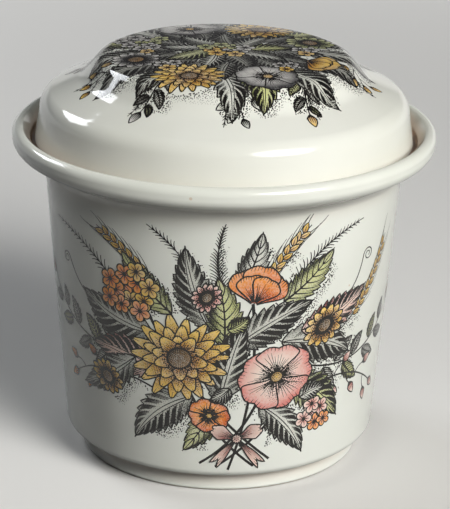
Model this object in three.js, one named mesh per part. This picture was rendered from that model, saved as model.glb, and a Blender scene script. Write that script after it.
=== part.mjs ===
// A round glazed earthenware jar with a loose lid that drops into a gallery inside the jar's rim.
// Millimetres, +Z up. The origin is the centre of the standing face, and every piece turns about Z.
import * as THREE from 'three';

// Foot ring that the jar stands on
const FOOT_RADIUS = 42.9;
const FOOT_HEIGHT = 5.4;
const FOOT_RING_WIDTH = 4.4;
const FOOT_LEAN = 1.2;
const FOOT_RECESS = 2.6;
const FOOT_EDGE = 0.9;

// Outside of the wall, which widens upwards from a rounded heel to the neck under the rim
const HEEL_RADIUS = 47.2;
const HEEL_HEIGHT = 6.8;
const HEEL_ROUND = 2.6;
const NECK_RADIUS = 53.8;
const NECK_HEIGHT = 90.6;
const NECK_ROUND = 4.0;

// Rolled rim, which flares out from the neck
const RIM_RADIUS = 63.3;
const RIM_TOP = 101.0;
const RIM_FACE = 5.4;
const RIM_UNDER_ROUND = 3.3;
const RIM_ROUND = 2.6;
const LIP_WIDTH = 2.9;
const LIP_ROUND = 1.3;

// Gallery inside the rim that the lid drops into
const GALLERY_DEPTH = 5.2;
const GALLERY_WALL = 2.0;
const GALLERY_ROUND = 0.8;

// Inside of the jar
const JAR_WALL = 4.6;
const FLOOR = 5.0;
const FLOOR_ROUND = 8.0;
const MOUTH_ROUND = 1.4;

// Lid
const LID_SIDE_PLAY = 1.1;
const LID_SEAT_GAP = 0.3;
const LID_RADIUS = 56.8;
const LID_FLANK = 13.9;
const LID_FLANK_DRAFT = 2.15;
const SHOULDER_ROUND = 6.2;
const SHOULDER_RISE = 5.7;
const CROWN_FOOT_RADIUS = 42.3;
const CROWN_FOOT_ROUND = 8.5;
const CROWN_RADIUS = 36.9;
const CROWN_HEIGHT = 6.3;
const CROWN_ROUND = 5.0;
const CROWN_DOME = 2.0;
const LID_WALL = 4.4;
const LID_EDGE = 1.0;

// Fineness of the turned surfaces
const TURN_SEGMENTS = 56;
const ARC_STEP = THREE.MathUtils.degToRad(30);
const DOME_STEPS = 4;

// One corner of an outline: distance from the axis, height, and the radius that rounds it.
function corner(radius, height, round = 0) {
  return { point: new THREE.Vector2(radius, height), round };
}

// Directions from a corner to the one before it and on to the next, and half the angle between them.
function sidesOf(corners, i) {
  const back = corners[i - 1].point.clone().sub(corners[i].point).normalize();
  const on = corners[i + 1].point.clone().sub(corners[i].point).normalize();
  return { back, on, half: back.angleTo(on) / 2 };
}

// How far along its sides a corner's rounding reaches where there is room for all of it.
function wantedReach(corners, i) {
  const rounded = i > 0 && i < corners.length - 1 && corners[i].round > 0;
  return rounded ? corners[i].round / Math.tan(sidesOf(corners, i).half) : 0;
}

// The points of one corner: a true arc, or the bare corner where nothing rounds it.
// Two roundings that meet on a short side share it in proportion to what they want.
function cornerPoints(corners, i) {
  const { point } = corners[i];
  const wanted = wantedReach(corners, i);
  if (wanted === 0) {
    return [point];
  }
  const shares = [i - 1, i + 1].map((j) => {
    return point.distanceTo(corners[j].point) / (wanted + wantedReach(corners, j));
  });
  const reach = wanted * Math.min(1, ...shares);
  const { back, on, half } = sidesOf(corners, i);
  const radius = reach * Math.tan(half);
  const centre = back.clone().add(on).setLength(radius / Math.sin(half)).add(point);
  const start = back.multiplyScalar(reach).add(point).sub(centre).angle();
  const end = on.multiplyScalar(reach).add(point).sub(centre).angle();
  const clockwise = THREE.MathUtils.euclideanModulo(end - start, 2 * Math.PI) > Math.PI;
  const arc = new THREE.EllipseCurve(centre.x, centre.y, radius, radius, start, end, clockwise);
  return arc.getPoints(Math.ceil((Math.PI - 2 * half) / ARC_STEP));
}

// A solid turned about Z from an outline that starts and ends on the axis.
function turned(corners) {
  const outline = corners.flatMap((_, i) => cornerPoints(corners, i));
  return new THREE.LatheGeometry(outline, TURN_SEGMENTS).rotateX(Math.PI / 2);
}

// A shallow dome from the axis out to its edge, without the edge itself.
function dome(edgeRadius, edgeHeight, rise) {
  return Array.from({ length: DOME_STEPS }, (_, step) => {
    const share = step / DOME_STEPS;
    return corner(edgeRadius * share, edgeHeight + rise * (1 - share * share));
  });
}

// The corners between an outline's two ends, moved in so that the wall between both is even.
function movedIn(corners, wall) {
  const outward = (from, to) => {
    const way = to.point.clone().sub(from.point).normalize();
    return new THREE.Vector2(-way.y, way.x);
  };
  return corners.slice(1, -1).map((one, i) => {
    const before = outward(corners[i], one);
    const after = outward(one, corners[i + 2]);
    const shift = before.clone().add(after).multiplyScalar(wall / (1 + before.dot(after)));
    return { point: one.point.clone().sub(shift), round: one.round };
  });
}

// Outer radius of the straight wall, which also gives the inner wall its slope.
const WALL_SLOPE = (NECK_RADIUS - HEEL_RADIUS) / (NECK_HEIGHT - HEEL_HEIGHT);
const wallRadius = (height) => HEEL_RADIUS + WALL_SLOPE * (height - HEEL_HEIGHT);

const SEAT = RIM_TOP - GALLERY_DEPTH;
const GALLERY_RADIUS = LID_RADIUS + LID_SIDE_PLAY;
const FLOOR_TOP = FOOT_RECESS + FLOOR;

function jarGeometry() {
  return turned([
    corner(0, FOOT_RECESS),
    corner(FOOT_RADIUS - FOOT_RING_WIDTH - FOOT_RECESS, FOOT_RECESS, FOOT_EDGE),
    corner(FOOT_RADIUS - FOOT_RING_WIDTH, 0, FOOT_EDGE),
    corner(FOOT_RADIUS, 0, FOOT_EDGE),
    corner(FOOT_RADIUS - FOOT_LEAN, FOOT_HEIGHT, FOOT_EDGE),
    corner(HEEL_RADIUS, HEEL_HEIGHT, HEEL_ROUND),
    corner(NECK_RADIUS, NECK_HEIGHT, NECK_ROUND),
    corner(RIM_RADIUS, RIM_TOP - RIM_FACE, RIM_UNDER_ROUND),
    corner(RIM_RADIUS, RIM_TOP, RIM_ROUND),
    corner(RIM_RADIUS - LIP_WIDTH, RIM_TOP, LIP_ROUND),
    corner(GALLERY_RADIUS, SEAT + GALLERY_WALL, LIP_ROUND),
    corner(GALLERY_RADIUS, SEAT, GALLERY_ROUND),
    corner(wallRadius(SEAT) - JAR_WALL, SEAT, MOUTH_ROUND),
    corner(wallRadius(FLOOR_TOP) - JAR_WALL, FLOOR_TOP, FLOOR_ROUND),
    corner(0, FLOOR_TOP),
  ]);
}

function lidGeometry() {
  const bottom = SEAT + LID_SEAT_GAP;
  const shoulder = bottom + LID_FLANK;
  const shoulderRadius = LID_RADIUS - LID_FLANK_DRAFT;
  const crownFoot = shoulder + SHOULDER_RISE;
  const crown = crownFoot + CROWN_HEIGHT;
  const outside = [
    ...dome(CROWN_RADIUS, crown, CROWN_DOME),
    corner(CROWN_RADIUS, crown, CROWN_ROUND),
    corner(CROWN_FOOT_RADIUS, crownFoot, CROWN_FOOT_ROUND),
    corner(shoulderRadius, shoulder, SHOULDER_ROUND),
    corner(LID_RADIUS, bottom, LID_EDGE),
  ];
  const inside = [
    corner(0, crown + CROWN_DOME - LID_WALL),
    ...movedIn(outside, LID_WALL),
    corner(LID_RADIUS - LID_WALL, bottom, LID_EDGE),
  ];
  return turned([...inside, ...outside.reverse()]);
}

const glaze = { roughness: 0.15, metalness: 0 };
const jarBody = new THREE.Mesh(jarGeometry(), new THREE.MeshStandardMaterial({ color: 0xe9e7df, ...glaze }));
jarBody.name = 'jar_body';
const lid = new THREE.Mesh(lidGeometry(), new THREE.MeshStandardMaterial({ color: 0xefece2, ...glaze }));
lid.name = 'lid';

const dripJar = new THREE.Group();
dripJar.add(jarBody, lid);

export default dripJar;
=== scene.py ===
# %% [markdown]
# A lidded kitchen jar in glazed earthenware, dressed around its imported CAD frame.
# The frame holds the sizes and the one joint: the loose lid lifts out of a gallery inside the rim.
# This script gives both pieces a smooth turned surface, a glaze, and a flower print under that glaze.
# The imported CAD parts stay in the scene, hidden once the turned pieces replace them.

# %% Load the frame
import math
import random

import bpy
import numpy as np
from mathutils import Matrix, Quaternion, Vector


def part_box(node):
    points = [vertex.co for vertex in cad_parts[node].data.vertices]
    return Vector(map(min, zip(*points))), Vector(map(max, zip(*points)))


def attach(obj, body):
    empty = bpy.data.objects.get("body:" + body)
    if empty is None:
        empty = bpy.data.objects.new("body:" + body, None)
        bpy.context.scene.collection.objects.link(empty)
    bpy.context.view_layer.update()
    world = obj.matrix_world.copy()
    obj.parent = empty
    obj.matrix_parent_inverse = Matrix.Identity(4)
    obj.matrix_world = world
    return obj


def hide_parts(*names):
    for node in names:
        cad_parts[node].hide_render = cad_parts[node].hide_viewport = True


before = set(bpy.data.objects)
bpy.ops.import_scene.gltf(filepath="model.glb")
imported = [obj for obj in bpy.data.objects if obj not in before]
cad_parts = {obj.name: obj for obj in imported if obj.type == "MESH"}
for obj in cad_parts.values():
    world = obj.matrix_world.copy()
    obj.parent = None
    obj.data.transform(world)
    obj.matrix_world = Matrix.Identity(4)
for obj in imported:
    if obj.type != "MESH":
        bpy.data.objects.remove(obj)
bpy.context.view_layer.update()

MM = 0.001
_, jar_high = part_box("jar_body")
lid_low, lid_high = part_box("lid")
print("nodes:", sorted(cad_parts))
print("rim across, lid top in mm:", round(2 * jar_high.x / MM, 1), round(lid_high.z / MM, 1))

# %% [markdown]
# The camera stands where the photograph was taken: about three quarters of a metre away, with a long
# lens, looking down by some 20 degrees. A long lens from a distance keeps the jar's sides nearly
# parallel, which a short lens close by would not. The picture is 450 by 509 pixels, and the sensor's
# 36 mm run along its longer side. The horizon of the photograph leans by one degree, so the camera
# is rolled by as much instead of tilting the jar.

# %% Camera
CAMERA_REACH = 0.7377
CAMERA_RISE = math.radians(20.48)
CAMERA_ROLL = math.radians(1.07)
CAMERA_LENS, SENSOR_WIDTH = 170.7, 36.0
ORBIT_CENTRE = Vector((0.0, 0.0, 0.055))
AIM_POINT = Vector((0.00094, 0.0, 0.059))


def add_object(name, data):
    """Puts a mesh, a lamp or a camera into the scene."""
    added = bpy.data.objects.new(name, data)
    bpy.context.scene.collection.objects.link(added)
    return added


def direction(azimuth, rise):
    """The unit vector from the jar towards that side and height; azimuth 0 is the viewer's side."""
    level = math.cos(rise)
    return Vector((math.sin(azimuth) * level, -math.cos(azimuth) * level, math.sin(rise)))


def aim(looker, way, roll):
    """Turns a camera or a lamp to look along way, rolled about its own axis."""
    looker.rotation_mode = "QUATERNION"
    looker.rotation_quaternion = way.to_track_quat("-Z", "Y") @ Quaternion((0.0, 0.0, 1.0), roll)


camera_data = bpy.data.cameras.new("photo_camera")
camera_data.lens = CAMERA_LENS
camera_data.sensor_width = SENSOR_WIDTH
camera = add_object("photo_camera", camera_data)
camera.location = ORBIT_CENTRE + CAMERA_REACH * direction(0.0, CAMERA_RISE)
aim(camera, AIM_POINT - camera.location, CAMERA_ROLL)
bpy.context.scene.camera = camera
print("camera at", [round(v, 3) for v in camera.location])

# %% [markdown]
# Materials are made of nodes. A few small helpers keep the node code short: the first adds a node and
# fills its sockets with numbers or with links, and the others add the nodes that are needed again and
# again. Each of these returns the socket that holds its result, ready to be linked on.

# %% Node helpers
def add_node(tree, kind, sockets=None, **settings):
    """Adds a node, sets its properties, and fills its input sockets with values or links."""
    node = tree.nodes.new(kind)
    for key, value in settings.items():
        setattr(node, key, value)
    for key, value in (sockets or {}).items():
        if isinstance(value, bpy.types.NodeSocket):
            tree.links.new(value, node.inputs[key])
        else:
            node.inputs[key].default_value = value
    return node


def calculate(tree, operation, *values):
    return add_node(tree, "ShaderNodeMath", dict(enumerate(values)), operation=operation).outputs[0]


def mix_colours(tree, share, first, second):
    """A Mix node has sockets for every data type; its colours are inputs 6 and 7, and output 2."""
    return add_node(tree, "ShaderNodeMix", {0: share, 6: first, 7: second}, data_type="RGBA").outputs[2]


def smooth_step(tree, value, start, end, low=0.0, high=1.0):
    """Runs smoothly from low to high while the value runs from start to end."""
    sockets = {"Value": value, "From Min": start, "From Max": end, "To Min": low, "To Max": high}
    return add_node(tree, "ShaderNodeMapRange", sockets, interpolation_type="SMOOTHSTEP").outputs[0]


def own_place(tree):
    """The place in a piece's own coordinates, so that a pattern stays on the piece when that moves."""
    return tree.nodes.new("ShaderNodeTexCoord").outputs["Object"]


def new_material(name):
    """A material with an empty Principled BSDF, returned with its node tree and that shader."""
    material = bpy.data.materials.new(name)
    material.use_nodes = True
    return material, material.node_tree, material.node_tree.nodes["Principled BSDF"]


print("node helpers:", [helper.__name__ for helper in (calculate, mix_colours, smooth_step, own_place)])

# %% [markdown]
# The stage is a pale floor and a pale backdrop. Close to the jar the floor is an ordinary matt surface
# and keeps the jar's shadow. Further out it fades into the same pale tone that the world shows,
# so that no dark horizon appears in low views. Light Path does that: rays from the camera, mirror
# rays and rays through glass see the pale tone, while the light that falls on the jar stays low.
# For the light that the floor throws back at the jar it counts as a dark card, which photographers
# lay round pale pots, because a white floor would light the shadow under the rim away.

# %% Floor
PALE_TONE = (0.74, 0.735, 0.72, 1.0)
FLOOR_COLOUR = (0.80, 0.795, 0.78, 1.0)
CARD_COLOUR = (0.05, 0.05, 0.05, 1.0)
FLOOR_ROUGHNESS = 0.75
FLOOR_REACH = 4.0
FADE_START, FADE_END = 0.25, 0.95


def seen_directly(tree):
    """1 for camera, glossy and transmission rays, 0 for the rays that carry light to surfaces."""
    path = tree.nodes.new("ShaderNodeLightPath").outputs
    either = calculate(tree, "MAXIMUM", path["Is Camera Ray"], path["Is Glossy Ray"])
    return calculate(tree, "MAXIMUM", either, path["Is Transmission Ray"])


floor_mesh = bpy.data.meshes.new("floor")
floor_corners = [(x * FLOOR_REACH, y * FLOOR_REACH, 0.0) for x, y in ((-1, -1), (1, -1), (1, 1), (-1, 1))]
floor_mesh.from_pydata(floor_corners, [], [(0, 1, 2, 3)])
floor = add_object("floor", floor_mesh)

floor_material, tree, matt = new_material("pale_floor")
matt.inputs["Roughness"].default_value = FLOOR_ROUGHNESS
direct = seen_directly(tree)
tree.links.new(mix_colours(tree, direct, CARD_COLOUR, FLOOR_COLOUR), matt.inputs["Base Color"])
distance = add_node(tree, "ShaderNodeVectorMath", {0: own_place(tree)}, operation="LENGTH").outputs["Value"]
far = calculate(tree, "MULTIPLY", smooth_step(tree, distance, FADE_START, FADE_END), direct)
glow = add_node(tree, "ShaderNodeEmission", {"Color": PALE_TONE, "Strength": 1.0})
blend = add_node(tree, "ShaderNodeMixShader", {0: far, 1: matt.outputs[0], 2: glow.outputs[0]})
tree.links.new(blend.outputs[0], tree.nodes["Material Output"].inputs["Surface"])
floor_mesh.materials.append(floor_material)
print("floor with the material", floor_material.name)

# %% [markdown]
# The world is the backdrop. Rays that see it directly get the pale tone, and as a light it gives no more
# than a faint fill. Overhead the studio is dim, as a real one is above its backdrop. A glossy glaze
# mirrors that part, so the dim ceiling keeps a grey veil off the dark print on top of the lid.

# %% Backdrop and ceiling
FILL_COLOUR, FILL_STRENGTH = (1.0, 1.0, 1.0, 1.0), 0.015
CEILING_TONE = (0.09, 0.09, 0.095, 1.0)
CEILING_START, CEILING_END = math.sin(math.radians(4)), math.sin(math.radians(10))

world = bpy.data.worlds.new("pale_studio")
bpy.context.scene.world = world
world.use_nodes = True
tree = world.node_tree
fill = tree.nodes["Background"]
fill.inputs["Color"].default_value = FILL_COLOUR
fill.inputs["Strength"].default_value = FILL_STRENGTH
way = tree.nodes.new("ShaderNodeTexCoord").outputs["Generated"]
climb = add_node(tree, "ShaderNodeSeparateXYZ", {0: way}).outputs["Z"]
tone = mix_colours(tree, smooth_step(tree, climb, CEILING_START, CEILING_END), PALE_TONE, CEILING_TONE)
backdrop = add_node(tree, "ShaderNodeBackground", {"Color": tone, "Strength": 1.0})
blend = add_node(tree, "ShaderNodeMixShader",
                 {0: seen_directly(tree), 1: fill.outputs[0], 2: backdrop.outputs[0]})
tree.links.new(blend.outputs[0], tree.nodes["World Output"].inputs["Surface"])
bpy.context.scene.view_settings.view_transform = "Standard"
print("world", world.name, "with a fill of", FILL_STRENGTH)

# %% [markdown]
# The photograph's light can be read from the glaze. The right half of the jar is bright and its left
# turns dark, so the main light is large and stands in front on the right. A window-like patch sits on
# the left slope of the crown, the left shoulder and the rim. Reflecting the line of sight there gives
# a smaller lamp behind on the left. Azimuth 0 is the viewer's side, 90 is the right. A cloth-covered
# studio lamp is brightest in its middle, so its mirror image has no hard edge. The lamp's own nodes
# do that: Parametric gives the place on the lamp's face, and the strength falls off from its middle.

# %% Lamps
LAMP_AIM = Vector((0.0, 0.0, 0.09))
LAMP_EDGE = 0.5


def soft_lamp(name, azimuth, rise, reach, size, power, colour, roll=0.0, core=LAMP_EDGE):
    """An area lamp at that direction from the jar, facing it; beyond its core it fades to the edge."""
    data = bpy.data.lights.new(name, "AREA")
    data.shape = "RECTANGLE"
    data.size, data.size_y = size
    data.energy = power
    data.color = colour
    lamp = add_object(name, data)
    way = direction(math.radians(azimuth), math.radians(rise))
    lamp.location = LAMP_AIM + reach * way
    aim(lamp, -way, math.radians(roll))
    lamp.visible_camera = False
    if core < LAMP_EDGE:
        data.use_nodes = True
        tree = data.node_tree
        place = tree.nodes.new("ShaderNodeNewGeometry").outputs["Parametric"]
        away = add_node(tree, "ShaderNodeVectorMath", {0: place, 1: (LAMP_EDGE, LAMP_EDGE, 0.0)},
                        operation="DISTANCE").outputs["Value"]
        fall = smooth_step(tree, away, core, LAMP_EDGE, low=1.0, high=0.0)
        tree.links.new(fall, tree.nodes["Emission"].inputs["Strength"])


soft_lamp("key_lamp", azimuth=38, rise=31, reach=1.5, size=(1.2, 1.05), power=92.0,
          colour=(1.0, 0.985, 0.95), core=0.1)
soft_lamp("window_lamp", azimuth=-130, rise=35.3, reach=0.9, size=(0.40, 0.22), power=2.6,
          colour=(0.94, 0.97, 1.0), roll=-7)

# %% [markdown]
# Both pieces are bodies of revolution, so each is an outline turned about the Z axis. An outline is a
# list of corners (radius, height, rounding, shade). Rounding a corner with a true arc gives the exact
# normal of every point as well. Those normals go into the mesh: with averaged normals, the long
# straight wall beside a small rounding would catch false shading. Two roundings that meet on a short
# side share it in proportion. The last number says how much painted warm shade that hollow corner
# gets in its colour. Straight runs are cut into short steps, so that such a value, stored on the points,
# changes over a short distance only.

# %% Rounded outlines
ARC_STEP = math.radians(7.0)
RUN_STEP = 3.0
HOLLOW_SHADE_REACH = 2.2


def unit(vector):
    return vector / np.linalg.norm(vector)


def outward(along):
    """The outside of an outline lies to the right of the way it runs."""
    return np.array((along[1], -along[0]))


def rounded_outline(corners):
    """Points (radius, height) in mm, outward normals, and how much painted shade each point gets."""
    spots = [np.array(corner[:2], float) for corner in corners]
    points, normals, hollow_shades = [spots[0]], [outward(unit(spots[1] - spots[0]))], [0.0]

    def append(point, normal, hollow_shade):
        run = point - points[-1]
        pieces = max(1, math.ceil(np.linalg.norm(run) / RUN_STEP))
        start, start_normal = points[-1], normals[-1]
        for k in range(1, pieces):
            share = k / pieces
            points.append(start + run * share)
            normals.append(unit(start_normal * (1 - share) + normal * share))
            hollow_shades.append(0.0)
        points.append(point)
        normals.append(normal)
        hollow_shades.append(hollow_shade)

    def sides(k):
        back, ahead = unit(spots[k - 1] - spots[k]), unit(spots[k + 1] - spots[k])
        return back, ahead, math.acos(np.clip(back @ ahead, -1, 1)) / 2

    def wanted_reach(k):
        rounded = 0 < k < len(corners) - 1 and len(corners[k]) > 2
        return corners[k][2] / math.tan(sides(k)[2]) if rounded else 0.0

    for k in range(1, len(corners) - 1):
        spot, (back, ahead, half_angle) = spots[k], sides(k)
        wanted = wanted_reach(k)
        if wanted == 0.0:
            append(spot, outward(unit(ahead - back)), 0.0)
            continue
        shares = [np.linalg.norm(spots[j] - spot) / (wanted + wanted_reach(j)) for j in (k - 1, k + 1)]
        reach = wanted * min(1.0, *shares)
        radius = reach * math.tan(half_angle)
        centre = spot + unit(back + ahead) * radius / math.sin(half_angle)
        bend = math.pi - 2 * half_angle
        left_turn = back[1] * ahead[0] - back[0] * ahead[1] > 0
        first = spot + back * reach - centre
        steps = max(2, math.ceil(bend / ARC_STEP))
        for j in range(steps + 1):
            turn = bend * j / steps * (1 if left_turn else -1)
            arm = np.array((first[0] * math.cos(turn) - first[1] * math.sin(turn),
                            first[0] * math.sin(turn) + first[1] * math.cos(turn)))
            append(centre + arm, unit(arm) * (1 if left_turn else -1), sum(corners[k][3:]))
    append(spots[-1], outward(unit(spots[-1] - spots[-2])), 0.0)
    return np.array(points), np.array(normals), spread_hollow_shades(np.array(points), np.array(hollow_shades))


def spread_hollow_shades(points, hollow_shades):
    """Lets each corner's painted shade fade out over the points around it."""
    far = np.linalg.norm(points[:, None] - points[None, :], axis=2)
    return (hollow_shades[None, :] * np.exp(-(far / HOLLOW_SHADE_REACH) ** 2)).max(axis=1)


sample = rounded_outline([(0.0, 0.0), (5.0, 0.0, 1.0), (5.0, 5.0)])[0]
print("a rounded square corner has", len(sample), "points")

# %% [markdown]
# Turning is then simple: every point of the outline becomes a ring, every two rings a belt of faces, and
# a point on the axis stays one point, where the faces are triangles. A Screw modifier could do the
# same, but it would not know the exact normals.

# %% Turning about the axis
TURN_STEPS = 240
ON_AXIS = 1e-9


def smooth_piece(name, places, faces, normals):
    """A smooth mesh with its own normals, from places in millimetres."""
    mesh = bpy.data.meshes.new(name)
    mesh.from_pydata(places * MM, [], faces)
    mesh.polygons.foreach_set("use_smooth", np.ones(len(faces), bool))
    mesh.normals_split_custom_set_from_vertices(normals)
    return add_object(name, mesh)


def turned_piece(name, outline):
    """Turns an outline about Z into a closed smooth mesh with exact normals and an attribute of painted
    hollow shade.
    """
    points, normals, hollow_shades = outline
    angles = np.arange(TURN_STEPS) * math.tau / TURN_STEPS
    circle = np.stack((np.cos(angles), np.sin(angles)), axis=1)

    def ring(pair):
        flat = np.column_stack((circle * pair[0], np.full(TURN_STEPS, pair[1])))
        return flat if abs(pair[0]) > ON_AXIS else flat[:1]

    rows = [ring(point) for point in points]
    sizes = [len(row) for row in rows]
    starts = np.cumsum([0] + sizes).tolist()
    row_normals = []
    for row, normal in zip(rows, normals):
        turned = ring(normal) if len(row) > 1 else np.array([[0.0, 0.0, math.copysign(1, normal[1])]])
        row_normals.append(np.broadcast_to(turned, row.shape))
    faces = []
    for k in range(len(rows) - 1):
        a, b = starts[k], starts[k + 1]
        for j in range(TURN_STEPS):
            after = (j + 1) % TURN_STEPS
            low = (a + j, a + after) if sizes[k] > 1 else (a,)
            high = (b + after, b + j) if sizes[k + 1] > 1 else (b,)
            faces.append(low + high)
    piece = smooth_piece(name, np.concatenate(rows), faces, np.concatenate(row_normals))
    # Each point keeps its share of the painted shade of hollow corners.
    share = np.repeat(hollow_shades, sizes).astype(np.float32)
    piece.data.attributes.new("painted_hollow_shade", "FLOAT", "POINT").data.foreach_set("value", share)
    print(name, "has", len(points), "outline points and", len(faces), "faces")
    return piece


print("a turned ring has", TURN_STEPS, "points")

# %% [markdown]
# The jar was cast in a mould: a foot ring, a wall that widens slowly to a narrow neck under a thick
# rolled rim, and inside the rim a step, the gallery, that the lid drops into. The radii and heights
# repeat the CAD solid's; the rim and the top come from its box. The rim's two roundings nearly meet,
# so that its face is one roll, bright on top and dark below, and no flat band.

# %% Jar sizes and outline
RIM_TOP = jar_high.z / MM
RIM_RADIUS = jar_high.x / MM
RIM_FACE, RIM_UNDER_ROUND, RIM_ROUND = 5.4, 3.3, 2.6
LIP_WIDTH, LIP_ROUND = 2.9, 1.3
FOOT_RADIUS, FOOT_HEIGHT, FOOT_RING = 42.9, 5.4, 4.4
FOOT_LEAN, FOOT_RECESS, FOOT_EDGE = 1.2, 2.6, 0.9
HEEL_RADIUS, HEEL_HEIGHT, HEEL_ROUND = 47.2, 6.8, 2.6
NECK_RADIUS, NECK_HEIGHT, NECK_ROUND = 53.8, 90.6, 4.0
GALLERY_DEPTH, GALLERY_WALL, GALLERY_ROUND = 5.2, 2.0, 0.8
JAR_WALL, JAR_FLOOR, JAR_FLOOR_ROUND, MOUTH_ROUND = 4.6, 5.0, 8.0, 1.4
# How much painted warm shade each hollow corner gets in the glaze colour.
RECESS_SHADE, FOOT_SHADE, NECK_SHADE, LEDGE_SHADE, SEAT_SHADE, FLOOR_SHADE = 0.35, 0.4, 0.12, 0.8, 1.0, 0.2
# The lid's box ends where its bottom edge is rounded, a little inside the corner of its outline.
LID_EDGE_LOSS = 0.13
LID_RADIUS = lid_high.x / MM + LID_EDGE_LOSS
LID_SIDE_PLAY = 1.1
SEAT = RIM_TOP - GALLERY_DEPTH
GALLERY_RADIUS = LID_RADIUS + LID_SIDE_PLAY
FLOOR_TOP = FOOT_RECESS + JAR_FLOOR
WALL_FLARE = (NECK_RADIUS - HEEL_RADIUS) / (NECK_HEIGHT - HEEL_HEIGHT)


def wall_radius(height):
    return HEEL_RADIUS + WALL_FLARE * (height - HEEL_HEIGHT)


jar_outline = rounded_outline([
    (0.0, FOOT_RECESS),
    (FOOT_RADIUS - FOOT_RING - FOOT_RECESS, FOOT_RECESS, FOOT_EDGE, RECESS_SHADE),
    (FOOT_RADIUS - FOOT_RING, 0.0, FOOT_EDGE),
    (FOOT_RADIUS, 0.0, FOOT_EDGE),
    (FOOT_RADIUS - FOOT_LEAN, FOOT_HEIGHT, FOOT_EDGE, FOOT_SHADE),
    (HEEL_RADIUS, HEEL_HEIGHT, HEEL_ROUND),
    (NECK_RADIUS, NECK_HEIGHT, NECK_ROUND, NECK_SHADE),
    (RIM_RADIUS, RIM_TOP - RIM_FACE, RIM_UNDER_ROUND),
    (RIM_RADIUS, RIM_TOP, RIM_ROUND),
    (RIM_RADIUS - LIP_WIDTH, RIM_TOP, LIP_ROUND),
    (GALLERY_RADIUS, SEAT + GALLERY_WALL, LIP_ROUND, LEDGE_SHADE),
    (GALLERY_RADIUS, SEAT, GALLERY_ROUND, SEAT_SHADE),
    (wall_radius(SEAT) - JAR_WALL, SEAT, MOUTH_ROUND),
    (wall_radius(FLOOR_TOP) - JAR_WALL, FLOOR_TOP, JAR_FLOOR_ROUND, FLOOR_SHADE),
    (0.0, FLOOR_TOP)])
jar = turned_piece("jar_turned", jar_outline)
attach(jar, "jar")
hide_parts("jar_body")

# %% [markdown]
# The lid is a hollow cap: a steep flank that stands in the gallery, a rounded and sloping shoulder, and
# a raised crown with a slight dome that serves as the grip. The inside is the same line moved in by
# the wall: each corner moves along the line that halves its two sides, so the wall is even. The dome
# ends a little below the CAD's top, because the print lies on it and has a thickness.

# %% Lid sizes and outline
LID_BOTTOM = lid_low.z / MM
LID_FLANK, LID_FLANK_DRAFT, SHOULDER_ROUND, SHOULDER_RISE = 13.9, 2.15, 6.2, 5.7
CROWN_FOOT_RADIUS, CROWN_FOOT_ROUND = 42.3, 8.5
CROWN_RADIUS, CROWN_HEIGHT, CROWN_ROUND = 36.9, 6.3, 5.0
PRINT_ROOM = 0.3
CROWN_EDGE = LID_BOTTOM + LID_FLANK + SHOULDER_RISE + CROWN_HEIGHT
CROWN_DOME = lid_high.z / MM - PRINT_ROOM - CROWN_EDGE
LID_WALL, LID_EDGE = 4.4, 1.0
DOME_STEPS, DOME_REACH = 14, 0.84


def moved_in(corners, wall):
    """The corners between an outline's two ends, moved in so that the wall between both is even."""
    spots = [np.array(corner[:2]) for corner in corners]
    ways = [outward(unit(after - before)) for before, after in zip(spots, spots[1:])]
    return [(*(spot + (a + b) * wall / (1 + a @ b)), *corner[2:])
            for spot, corner, a, b in zip(spots[1:], corners[1:], ways, ways[1:])]


dome_shares = [DOME_REACH * k / DOME_STEPS for k in range(DOME_STEPS + 1)]
lid_outside = [(CROWN_RADIUS * share, CROWN_EDGE + CROWN_DOME * (1 - share ** 2)) for share in dome_shares]
lid_outside += [
    (CROWN_RADIUS, CROWN_EDGE, CROWN_ROUND),
    (CROWN_FOOT_RADIUS, LID_BOTTOM + LID_FLANK + SHOULDER_RISE, CROWN_FOOT_ROUND),
    (LID_RADIUS - LID_FLANK_DRAFT, LID_BOTTOM + LID_FLANK, SHOULDER_ROUND),
    (LID_RADIUS, LID_BOTTOM, LID_EDGE)]
lid_inside = [(0.0, CROWN_EDGE + CROWN_DOME - LID_WALL)] + moved_in(lid_outside, LID_WALL)
lid_inside.append((LID_RADIUS - LID_WALL, LID_BOTTOM, LID_EDGE))
lid_outline = rounded_outline(lid_inside + lid_outside[::-1])
lid = turned_piece("lid_turned", lid_outline)
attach(lid, "lid")
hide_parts("lid")

# %% [markdown]
# The glaze is a clear glassy coat over a cream clay. On a real jar it is never perfectly even: it lies
# in slow waves that bend the reflections, with a faint orange peel on top, and its tone drifts a
# little from place to place. The jar, the lid and the print under the same glaze all need those
# waves, so they are one node group that reads the pieces' own coordinates. A second group scatters
# a few tiny specks from the kiln.

# %% Glaze groups
WAVE_DETAIL, CLOUD_DETAIL = 1.0, 3.0
PEEL_SHARE = 0.035


def new_group(name, inputs, outputs):
    """A shader node group with named sockets; inputs gives the value that each one has if left alone."""
    tree = bpy.data.node_groups.new(name, "ShaderNodeTree")
    for label, value in inputs.items():
        socket = tree.interface.new_socket(label, in_out="INPUT", socket_type="NodeSocketFloat")
        socket.default_value = value
    for label in outputs:
        tree.interface.new_socket(label, in_out="OUTPUT", socket_type="NodeSocketFloat")
    return tree, tree.nodes.new("NodeGroupInput").outputs, tree.nodes.new("NodeGroupOutput").inputs


def noise(tree, scale, detail):
    sockets = {"Vector": own_place(tree), "Scale": scale, "Detail": detail}
    return add_node(tree, "ShaderNodeTexNoise", sockets).outputs[0]


glaze_surface, given, made = new_group(
    "glaze_surface", {"Wave Scale": 60.0, "Peel Scale": 700.0, "Cloud Scale": 28.0}, ("Height", "Cloud"))
waves = noise(glaze_surface, given["Wave Scale"], WAVE_DETAIL)
peel = noise(glaze_surface, given["Peel Scale"], WAVE_DETAIL)
cloud = noise(glaze_surface, given["Cloud Scale"], CLOUD_DETAIL)
height = calculate(glaze_surface, "MULTIPLY_ADD", peel, PEEL_SHARE, waves)
glaze_surface.links.new(height, made["Height"])
glaze_surface.links.new(cloud, made["Cloud"])

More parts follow.
